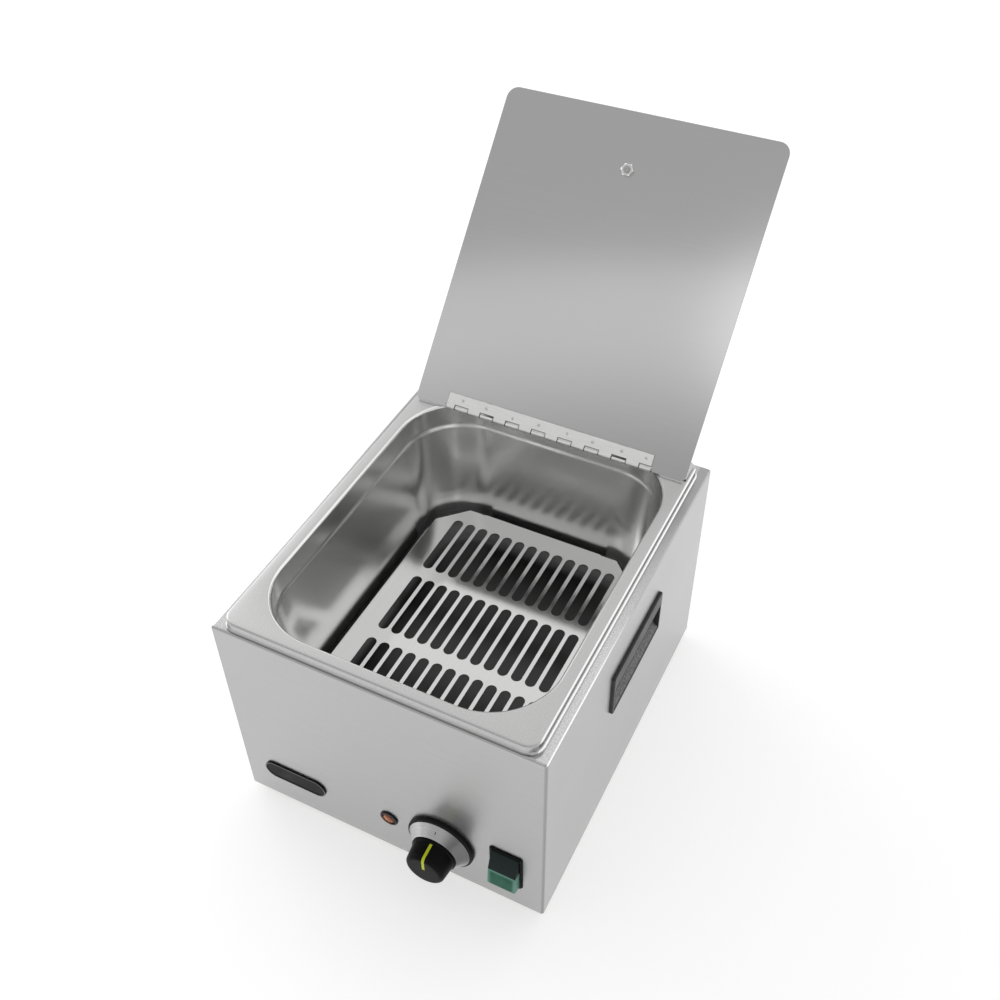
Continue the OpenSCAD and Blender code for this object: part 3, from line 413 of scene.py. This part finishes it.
# The pan in millimetres from the middle of its mouth. Its wall bends at the toe, above the
# floor, and at the knee and the hip, which make the shoulder.
millimetre = 0.001
mouth_y, rim_z = -0.067788, 0.229
mouth_half_x, mouth_half_y, mouth_corner = 123.5, 153.5, 60.0
rim_half_x, rim_half_y, rim_corner, rim_shift = 132.5, 162.5, 12.0, 1.0
pan_depth, sheet = 150.0, 0.8
toe_bend, knee_bend, hip_bend, roll = 22.0, 12.0, 12.0, 3.0
draft, slope = np.radians(6.0), np.radians(19.3)
hip = np.array([15.0, -20.9])
knee = hip - (knee_bend + hip_bend) * np.array([np.cos(slope), np.sin(slope)])
wall_u, wall_z = knee + knee_bend * np.array([np.cos(draft), np.sin(draft)])
toe_z = sheet + toe_bend - pan_depth
toe_u = (np.cos(draft) * wall_u + np.sin(draft) * (wall_z - toe_z) + toe_bend) / np.cos(draft)


def well_wall(inside):
    """Section of the wall from the floor to the rolled mouth, four arcs that run into each
    other, as inset and height, at inside behind the visible face."""
    return np.concatenate([bend((toe_u, toe_z), toe_bend + inside, 270, 186, 16),
                           bend(knee, knee_bend - inside, 6, 19.3, 8),
                           bend(hip, hip_bend + inside, 199.3, 180, 8),
                           bend((0.0, -roll), roll - inside, 0, 90, 10)])


def basin_lines():
    """All lines of the pan: floor, wall, roll, flat rim, turned edge and flare, and back again
    a sheet's thickness behind them."""
    lines = []
    for inside in (0.0, sheet):
        well = well_wall(inside)
        inset, floor_z = well[0]
        rows = [rounded(1e-9, 1e-9, 0.0, sheet - inside - pan_depth)]
        for share in (0.35, 0.7):
            ring = rounded(mouth_half_x - inset, mouth_half_y - inset, mouth_corner - inset, floor_z)
            ring[:, :2] *= share
            rows.append(ring)
        rows += [rounded(mouth_half_x - u, mouth_half_y - u, mouth_corner - u, z) for u, z in well]
        for r, z in np.concatenate([bend((10.0, -2.0), 2.0 - inside, 90, 0, 8),
                                    bend((13.6, -6.55), 1.6 + inside, 180, 262, 7)]):
            ring = rounded(rim_half_x - rim_corner + r, rim_half_y - rim_corner + r, r, z)
            ring[:, 1] += rim_shift
            rows.append(ring)
        lines.append(np.array(rows))
    return np.concatenate([lines[0], lines[1][::-1]])


basin_steel = metal("basin_steel", (0.88, 0.88, 0.875), (0.22, 0.28), (60, 60, 400), 0.0000012, 0.01,
                    14.0, 0.0002)
across, along, height = place_parts(basin_steel)
# Painted shade: the wall darkens towards the bottom of the well, and the floor under the plate is painted
# nearly black.
low_wall_shade = spread(basin_steel, height, rim_z - 0.123, rim_z - 0.135, smooth=True)
pan_floor_shade = spread(basin_steel, height, rim_z - 0.1475, rim_z - 0.149)
overlaid(basin_steel, low_wall_shade, grey(0.24), 0.5)
overlaid(basin_steel, pan_floor_shade, grey(0.09), 0.5)

# The flat rim is speckled and dull; everything inside its roll is polished.
mouth_low = (-mouth_half_x * millimetre, mouth_y - mouth_half_y * millimetre, 0.0)
mouth_high = (mouth_half_x * millimetre, mouth_y + mouth_half_y * millimetre, 0.2)
x, y, _ = inward(basin_steel, mouth_low, mouth_high)
outside = spread(basin_steel, reckoned(basin_steel, "MINIMUM", x, y), -0.0012, -0.0004, 1.0, 0.0)
on_top = spread(basin_steel, height, rim_z - 0.0003, rim_z - 0.0001)
rim = reckoned(basin_steel, "MAXIMUM", outside, on_top)
overlaid(basin_steel, rim, speckled(basin_steel, 0.3, 0.7, grey(0.47), (0.54, 0.54, 0.535)), 0.33)

# Painted shade by place: on the turned edge at the left, as a contact shadow at its foot in front, on the
# roll at the right, and in the corner of the well behind it.
inside = reckoned(basin_steel, "SUBTRACT", None, rim, in0=1.0)
rolled = reckoned(basin_steel, "COMPARE", height, in1=rim_z - 0.0014, in2=0.0014)
for first, second, colour in (
        (spread(basin_steel, across, -0.1306, -0.1314), spread(basin_steel, along, -0.224, -0.219), 0.3),
        (spread(basin_steel, along, -0.2282, -0.2288), spread(basin_steel, height, 0.2216, 0.2206), 0.1),
        (both(basin_steel, rolled, inside), spread(basin_steel, across, 0.07, 0.1), 0.3),
        (both(basin_steel, spread(basin_steel, across, 0.09, 0.118, 0.0, 0.75, True),
              spread(basin_steel, along, -0.02, 0.04, smooth=True)), inside, 0.2)):
    overlaid(basin_steel, both(basin_steel, first, second), grey(colour), 0.4)

# The turned edge at the right, from the top down: a painted highlight on the bend, painted shade on the side,
# a painted highlight on the flare.
on_right = spread(basin_steel, across, 0.131, 0.1313)
for middle, half, colour in ((rim_z - 0.0005, 0.0005, 0.95), (rim_z - 0.0034, 0.0018, 0.2),
                             (0.2212, 0.0009, 0.95)):
    line = reckoned(basin_steel, "COMPARE", height, in1=middle, in2=half)
    overlaid(basin_steel, both(basin_steel, line, on_right), grey(colour), 0.25)
lines = basin_lines() * millimetre + np.array([0.0, mouth_y, rim_z])
basin = piece("basin_pan", *skin(lines), "body", "stainless", basin_steel)
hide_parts("basin")


def turned(line, steps):
    """Round piece: each point of the line, as radius and height, goes once round the axis."""
    angle = np.linspace(0, 2 * np.pi, steps, endpoint=False)
    return np.stack([line[:, :1] * np.cos(angle), line[:, :1] * np.sin(angle),
                     np.broadcast_to(line[:, 1:], (len(line), steps))], axis=-1)


# The studs in millimetres: each one's place, and its outline as radius and height.
stud_x, stud_y = 34.0, -45.788
stud_line = np.array([(0.0, 79.4), (3.0, 79.4), (3.0, 60.2), (2.5, 59.7), (0.0, 59.7)])
for name, x in (("basin_stud_left", -stud_x), ("basin_stud_right", stud_x)):
    lines = turned(stud_line, 32) + np.array([x, stud_y, 0.0])
    piece(name, *skin(lines * millimetre), "body", "stainless", basin_steel)

# Insert plate: a tray of stainless sheet with three rows of punched long slots. Its four edges
# are bent down as legs, and its corners are cut off to clear the pan's round corners.
plate_steel = metal("plate_steel", (0.62, 0.62, 0.615), (0.09, 0.14), (1400, 6, 6), 0.0000015)
carried("insert_plate", plate_steel, soften=0.0002)

# Fixed strip, hinge leaves and pin: a folded steel strip lies on the rim behind the mouth, with
# two turned-up tabs that stop the open lid. A piano hinge joins it to the lid; the leaves are
# rolled round a thin pin and spot-welded on.
open_angle, hinge_y, hinge_z = -132.4, 0.066812, 0.2308
lid_turn = (open_angle, (0.0, hinge_y, hinge_z))
hinge_half, knuckle, leaf_wide = 0.0985, 0.0127, 0.0133
strip_steel = metal("strip_steel", (0.56, 0.56, 0.555), (0.26, 0.36), (5, 1400, 1400), 0.000004)
hinge_steel = metal("hinge_steel", (0.84, 0.84, 0.83), (0.3, 0.44), (40, 700, 700), 0.00001, 0.08,
                    160.0, 0.0001)

# Spot welds: round dull marks in a row along the leaf, each a shallow dent, one for every two
# knuckles: the distance to the nearest, after a slow noise has moved each one a little.
weld_row = 0.0043
slow = wired(hinge_steel, "TexNoise", [place_on(hinge_steel)], Scale=31.0).outputs["Color"]
moved = wired(hinge_steel, "VectorMath", [slow, None, tilted(hinge_steel, *lid_turn)], "MULTIPLY_ADD",
              in1=(0.016, 0.007, 0.0))
x, y, _ = wired(hinge_steel, "SeparateXYZ", [moved.outputs[0]]).outputs
along_row = reckoned(hinge_steel, "PINGPONG", x, in1=knuckle)
off_row = reckoned(hinge_steel, "ADD", y, in1=weld_row)
flat = wired(hinge_steel, "CombineXYZ", [along_row, off_row]).outputs[0]
far = wired(hinge_steel, "VectorMath", [flat], "LENGTH").outputs["Value"]
overlaid(hinge_steel, spread(hinge_steel, far, 0.0009, 0.0018, 0.7, 0.0, True), (0.5, 0.5, 0.49), 0.5)
tree = hinge_steel.node_tree
surface = tree.nodes["Principled BSDF"]
dent = wired(hinge_steel, "Bump", Distance=0.00008)
tree.links.new(spread(hinge_steel, far, 0.0008, 0.002, smooth=True), dent.inputs["Height"])
tree.links.new(surface.inputs["Normal"].links[0].from_socket, dent.inputs["Normal"])
tree.links.new(dent.outputs[0], surface.inputs["Normal"])

# Dark lines of painted shade round the leaf and along the notches, which repeat every two knuckles.
notch_middle, notch_half, notch_deep = -0.08335, 0.0067, 0.00305
painted_edge_tone(hinge_steel, (-hinge_half, -leaf_wide, -0.0018), (hinge_half, 0.01, -0.001), 0.00045, grey(0.2),
     0.5, lid_turn)
from_notch = tilted(hinge_steel, open_angle, (notch_middle, hinge_y, hinge_z))
x, y, _ = wired(hinge_steel, "SeparateXYZ", [from_notch]).outputs
x = reckoned(hinge_steel, "SUBTRACT", None, reckoned(hinge_steel, "PINGPONG", x, in1=knuckle), in0=notch_half)
y = reckoned(hinge_steel, "ADD", y, in1=notch_deep)
cut = reckoned(hinge_steel, "ABSOLUTE", reckoned(hinge_steel, "MINIMUM", x, y))
overlaid(hinge_steel, spread(hinge_steel, cut, 0.0001, 0.0004, 1.0, 0.0, True), grey(0.08), 0.5)
carried("rear_strip", strip_steel, soften=0.00015)
carried("lid_leaf", hinge_steel, soften=0.00012)
carried("fixed_leaf", hinge_steel, soften=0.00012)
carried("hinge_pin", hinge_steel)

# Lid: a flat sheet of brushed stainless steel with round front corners and a cut-out for the
# hinge. Its edges are deburred and carry a painted highlight, and its outer face is brushed duller than the
# inner one.
lid_half_x, lid_long = 0.1295, 0.2893
lid_steel = metal("lid_steel", grey(0.53), (0.1, 0.14), (4, 900, 900), 0.0000012, 0.015)
painted_edge_tone(lid_steel, (-lid_half_x, -lid_long, -0.02), (lid_half_x, 0.0012, 0.02), 0.0009, (0.7, 0.7, 0.69),
     None, lid_turn)
_, _, above_pin = wired(lid_steel, "SeparateXYZ", [tilted(lid_steel, *lid_turn)]).outputs
overlaid(lid_steel, spread(lid_steel, above_pin, -0.0004, -0.0002), grey(0.5), 0.3)
carried("lid_plate", lid_steel, soften=0.00025)


# Lid knob: a turned black plastic knob on a threaded stud, held by a thin nut under the lid.
# The nut and the stud are bright plated steel.
def plastic(name, colour, rough, grain, depth, shade=0.25, shine=0.5):
    """Moulded plastic: a fine noise in Object coordinates is its grain, and a slower one varies
    its gloss and its shade; shine is the strength of its reflections."""
    finish = bpy.data.materials.new(name)
    finish.use_nodes = True
    tree = finish.node_tree
    bsdf = tree.nodes["Principled BSDF"]
    bsdf.inputs["Specular IOR Level"].default_value = shine
    place = place_on(finish)
    fine = wired(finish, "TexNoise", [place], Scale=grain, Detail=3.0).outputs[0]
    slow = wired(finish, "TexNoise", [place], Scale=60.0, Detail=4.0).outputs[0]
    tree.links.new(spread(finish, slow, 0.3, 0.7, *rough), bsdf.inputs["Roughness"])
    dark, light = (tuple(c * (1 + s) for c in colour) for s in (-shade, shade))
    tree.links.new(blended(finish, spread(finish, slow, 0.3, 0.7), dark, light), bsdf.inputs["Base Color"])
    relief = wired(finish, "Bump", Distance=depth)
    tree.links.new(fine, relief.inputs["Height"])
    tree.links.new(relief.outputs["Normal"], bsdf.inputs["Normal"])
    return finish


knob_black = plastic("knob_black", grey(0.005), (0.28, 0.4), 1800.0, 0.00002, 0.25, 0.06)
bright_nut = metal("bright_nut", (0.95, 0.95, 0.94), (0.02, 0.08), (400, 400, 400), 0.0003, 0.15)
# Painted shade on the nut's flat face, so that its sides show bright against it.
_, _, above_pin = wired(bright_nut, "SeparateXYZ", [tilted(bright_nut, *lid_turn)]).outputs
overlaid(bright_nut, spread(bright_nut, above_pin, -0.0044, -0.0046), grey(0.42), 0.2)
carried("lid_knob", knob_black, limit=30)
carried("knob_stud", bright_nut)
carried("knob_nut", bright_nut, soften=0.0002, limit=20)


# Thermostat dial: a black base ring on the front, a conical skirt of turned aluminium with one
# black index mark, and a black knob with a lime pointer let into it.
def radius_from(finish, centre):
    """Distance from the axis that goes through centre, square to the front."""
    flat = wired(finish, "VectorMath", [place_on(finish)], "MULTIPLY", in1=(1.0, 0.0, 1.0)).outputs[0]
    return wired(finish, "VectorMath", [flat], "DISTANCE", in1=(centre[0], 0.0, centre[1])).outputs["Value"]


dial_x, dial_z = 0.051, 0.0545
ring_pitch, ring_depth = 0.0011, 0.00012
matt_black = plastic("matt_black", grey(0.006), (0.42, 0.55), 1500.0, 0.00003, 0.25, 0.12)

# The skirt's turned rings: a noise of the distance to its axis.
skirt_colour = (0.56, 0.56, 0.565)
skirt_metal = metal("skirt_aluminium", skirt_colour, (0.22, 0.3), (300, 300, 300), 0.0, 0.02, 60.0)
far = wired(skirt_metal, "CombineXYZ", [radius_from(skirt_metal, (dial_x, dial_z))]).outputs[0]
rings = wired(skirt_metal, "TexNoise", [far], Scale=1.0 / ring_pitch, Detail=2.0, Roughness=0.7).outputs[0]
relief = skirt_metal.node_tree.nodes["Bump"]
relief.inputs["Distance"].default_value = ring_depth
skirt_metal.node_tree.links.new(rings, relief.inputs["Height"])
overlaid(skirt_metal, spread(skirt_metal, rings, 0.35, 0.65, 0.35, 0.0), tuple(c * 0.7 for c in skirt_colour))

# Its index mark, and painted shade for the dark side that turned metal shows across the light.
tick_low, tick_high, tick_half = 0.0224, 0.0246, 0.0005
x, _, z = inward(skirt_metal, (dial_x - tick_half, -1.0, dial_z + tick_low),
                 (dial_x + tick_half, 0.0, dial_z + tick_high))
tick = reckoned(skirt_metal, "MINIMUM", x, z)
overlaid(skirt_metal, spread(skirt_metal, tick, 0.0, 0.0003, smooth=True), grey(0.05), 0.6)
from_axis = wired(skirt_metal, "VectorMath", [place_on(skirt_metal)], "SUBTRACT", in1=(dial_x, 0.0, dial_z))
flat = wired(skirt_metal, "VectorMath", [from_axis.outputs[0]], "MULTIPLY", in1=(1.0, 0.0, 1.0))
way = wired(skirt_metal, "VectorMath", [flat.outputs[0]], "NORMALIZE").outputs[0]
aside = wired(skirt_metal, "VectorMath", [way], "DOT_PRODUCT", in1=(0.94, 0.0, 0.34)).outputs["Value"]
overlaid(skirt_metal, spread(skirt_metal, aside, 0.5, 0.95, 0.0, 0.85, True), grey(0.1))
carried("dial_ring", matt_black)
carried("dial_skirt", skirt_metal)
carried("thermostat_knob", knob_black)
lime = plastic("pointer_lime", (0.5, 0.57, 0.008), (0.35, 0.45), 900.0, 0.00001, 0.05, 0.3)
carried("knob_pointer", lime)
plated = metal("plated_steel", (0.6, 0.59, 0.57), (0.25, 0.4), (300, 300, 300), 0.00001)
carried("dial_screws", plated)
carried("thermostat_shaft", plated)

# Switch: a black snap-in frame with a rocker of translucent green plastic that tilts about its
# middle; its upper half is painted nearly black as shade over the dark well behind it, with painted
# highlights for its ribs.
switch_x, switch_z, rocker_half, rocker_low = 0.109, 0.059, 0.012, 0.0203
rocker_green = plastic("rocker_green", (0.028, 0.125, 0.08), (0.2, 0.3), 300.0, 0.00001, 0.3, 0.1)
# Painted light: the rocker grows lighter towards its edges.
x, _, z = inward(rocker_green, (switch_x - rocker_half, -1.0, switch_z - rocker_low),
                 (switch_x + rocker_half, 0.0, switch_z + 0.0025))
from_edge = reckoned(rocker_green, "MINIMUM", x, z)
overlaid(rocker_green, spread(rocker_green, from_edge, 0.0005, 0.0035, 1.0, 0.0, True), (0.12, 0.28, 0.22))
# Painted shade over the upper half, and painted highlights along its ribs.
_, _, height = place_parts(rocker_green)
shaded_upper_half = spread(rocker_green, height, switch_z + 0.0022, switch_z + 0.0029)
overlaid(rocker_green, shaded_upper_half, (0.004, 0.011, 0.01))
half_rib = 0.00125
rib_highlight = spread(rocker_green, reckoned(rocker_green, "PINGPONG", height, in1=half_rib), 0.0009, half_rib,
             0.0, 0.6, True)
overlaid(rocker_green, both(rocker_green, rib_highlight, shaded_upper_half), (0.012, 0.03, 0.026))
carried("switch_frame", matt_black, soften=0.0005)
carried("switch_rocker", rocker_green, soften=0.0013)


# Pilot lamp: a black ring that holds a low dome of clear orange plastic, moulded inside with
# small pyramids whose sparkle is painted on as glints.
def on_front(points, x, z):
    """Turns a piece drawn with its height along Z so that it stands out of the front face at
    x, z, from millimetres to metres."""
    points = points * millimetre
    return np.stack([x + points[..., 0], front_y - points[..., 2], z + points[..., 1]], axis=-1)


def saw(value, pitch):
    """Height of a row of ridges: the distance to the nearest multiple of the pitch."""
    return np.abs(value / pitch - np.round(value / pitch)) * pitch


lamp_x, lamp_z = 0.002, 0.0525
lens_orange = plastic("lens_orange", (0.5, 0.15, 0.055), (0.05, 0.12), 400.0, 0.00001, 0.5, 0.3)
# Painted glints on the pyramids, and painted shade towards the dome's edge.
painted_glint = wired(lens_orange, "TexVoronoi", [place_on(lens_orange)], Scale=420.0).outputs[0]
overlaid(lens_orange, spread(lens_orange, painted_glint, 0.1, 0.4, 1.0, 0.0, True), (1.0, 0.62, 0.4))
far = radius_from(lens_orange, (lamp_x - 0.0012, lamp_z - 0.0018))
overlaid(lens_orange, spread(lens_orange, far, 0.0034, 0.0066, 0.0, 0.9, True), (0.07, 0.02, 0.01))
gloss_black = plastic("gloss_black", (0.006, 0.006, 0.007), (0.1, 0.18), 900.0, 0.000006, 0.25, 0.15)
# A painted glow of the lens's light on the ring, at its lower left.
far = radius_from(gloss_black, (lamp_x - 0.0042, lamp_z - 0.0062))
overlaid(gloss_black, spread(gloss_black, far, 0.003, 0.0075, 0.6, 0.0, True), (0.3, 0.17, 0.12))
carried("lamp_bezel", gloss_black)

# The lens in millimetres: a shallow ball of large radius with two crossed rows of ridges, and a
# plain collar that goes back into the ring.
ball, lens_high, ridge_pitch, ridged, lens_back = 9.36, 2.4, 1.5, 5.2, -9.0
reach = np.concatenate([np.linspace(0.0, 5.6, 29), [5.85, 5.85, 0.0]])
angle = np.linspace(0, 2 * np.pi, 96, endpoint=False)
wide, tall = reach[:, None] * np.cos(angle), reach[:, None] * np.sin(angle)
ridges = 0.3 * (saw(wide, ridge_pitch) + saw(tall, ridge_pitch)) * (reach < ridged)[:, None]
dome = (lens_high - ball + np.sqrt(ball ** 2 - reach ** 2))[:, None] - ridges
dome[-2:] = lens_back
facet_angle = 12.0
lens = piece("lamp_lens_dome", *skin(on_front(np.stack([wide, tall, dome], axis=-1), lamp_x, lamp_z)),
             "body", "lens", lens_orange)
lens.data.set_sharp_from_angle(angle=np.radians(facet_angle))
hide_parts("lamp_lens")

# Badge: a bare black oval plate stuck to the front, with a thin grey line painted along its raised edge: a
# band at one distance from the line between the middles of the oval's round ends.
badge_x, badge_z, badge_straight, edge_line, line_half = -0.09, 0.0475, 0.02, 0.0094, 0.00035
badge_black = plastic("badge_black", grey(0.005), (0.35, 0.5), 1500.0, 0.00002, 0.25, 0.11)
from_middle = wired(badge_black, "VectorMath", [place_on(badge_black)], "SUBTRACT",
                    in1=(badge_x, front_y, badge_z)).outputs[0]
x, _, z = wired(badge_black, "SeparateXYZ", [from_middle]).outputs
x = reckoned(badge_black, "SUBTRACT", reckoned(badge_black, "ABSOLUTE", x), in1=badge_straight)
x = reckoned(badge_black, "MAXIMUM", x, in1=0.0)
flat = wired(badge_black, "CombineXYZ", [x, z]).outputs[0]
far = wired(badge_black, "VectorMath", [flat], "LENGTH").outputs["Value"]
overlaid(badge_black, reckoned(badge_black, "COMPARE", far, in1=edge_line, in2=line_half), grey(0.2))
carried("badge_plate", badge_black, soften=0.00012)

# Side grips: black moulded frames snapped into the sides, each with a hood above a sloping
# pocket. The slope's coarse grain is painted grey as light, and the hood's lip is painted dark as shade, dull
# and with little shine.
grip_front, grip_back, grip_side = -0.1092, -0.0124, 0.1439
slope_low, slope_high, lip_low, lip_high = 0.1337, 0.1418, 0.1585, 0.1622
grip_black = plastic("grip_black", grey(0.018), (0.36, 0.5), 900.0, 0.00012, 0.5, 0.45)
# Painted light on the slope's coarse grain.
grain = wired(grip_black, "TexNoise", [place_on(grip_black)], Scale=700.0, Detail=2.0).outputs[0]
slope_mottle = spread(grip_black, grain, 0.36, 0.64, 0.4, 1.0)
x, y, z = inward(grip_black, (-grip_side, grip_front, slope_low), (grip_side, grip_back, slope_high))
from_edge = reckoned(grip_black, "MINIMUM", reckoned(grip_black, "MINIMUM", x, y), z)
lit_slope = spread(grip_black, from_edge, 0.0, 0.0006)
overlaid(grip_black, both(grip_black, lit_slope, slope_mottle), grey(0.2))
# Painted shade along the hood's lip, which also loses most of its shine.
_, y, z = inward(grip_black, (-1.0, grip_front, lip_low), (1.0, grip_back, lip_high))
lip_shade = spread(grip_black, reckoned(grip_black, "MINIMUM", y, z), 0.0, 0.0003)
overlaid(grip_black, lip_shade, grey(0.002), 1.0)
grip_black.node_tree.links.new(spread(grip_black, lip_shade, 0.0, 1.0, 0.45, 0.05),
                               grip_black.node_tree.nodes["Principled BSDF"].inputs["Specular IOR Level"])
carried("grip_right", grip_black, soften=0.0003)
carried("grip_left", grip_black, soften=0.0003)

# Base plate, its screws and the rubber feet: a galvanised sheet with air slots closes the
# jacket from below. It is screwed to the lower flange, and the feet are moulded rubber.
rubber = plastic("foot_rubber", grey(0.02), (0.6, 0.75), 1200.0, 0.00004)
carried("base_plate", plated)
carried("base_screws", plated)
carried("rubber_feet", rubber)

# Heating and wiring: a tube heater is clamped to an aluminium spreader under the basin. The
# thermostat with its bulb, the cut-out, the terminals and the lamp's body sit in the jacket,
# and a nut holds the cable gland in the jacket's back. All keep the CAD surface.
element = metal("element_steel", grey(0.3), (0.4, 0.55), (200, 200, 200), 0.00002, 0.1)
spreader = metal("spreader_aluminium", (0.7, 0.7, 0.71), (0.35, 0.5), (60, 5, 60), 0.00001)
brass = metal("brass", (0.75, 0.56, 0.25), (0.25, 0.4), (200, 200, 200), 0.00001)
copper = metal("copper", (0.75, 0.38, 0.24), (0.25, 0.4), (200, 200, 200), 0.00001)
cream = plastic("cream_plastic", (0.62, 0.6, 0.52), (0.4, 0.5), 800.0, 0.00001, 0.05)
for finish, names in ((element, ["heating_element"]),
                      (spreader, ["heat_spreader"]),
                      (brass, ["element_ends", "clamp_nuts", "switch_terminals"]),
                      (plated, ["clamp_bar", "bulb_clip", "thermostat_plate"]),
                      (copper, ["sensor_bulb", "capillary"]),
                      (cream, ["thermostat_body", "terminal_block"]),
                      (matt_black, ["overheat_cutout", "lamp_body", "cord_gland", "gland_nut"])):
    for name in names:
        mesh = frame["nodes"][name].data
        mesh.materials.clear()
        mesh.materials.append(finish)
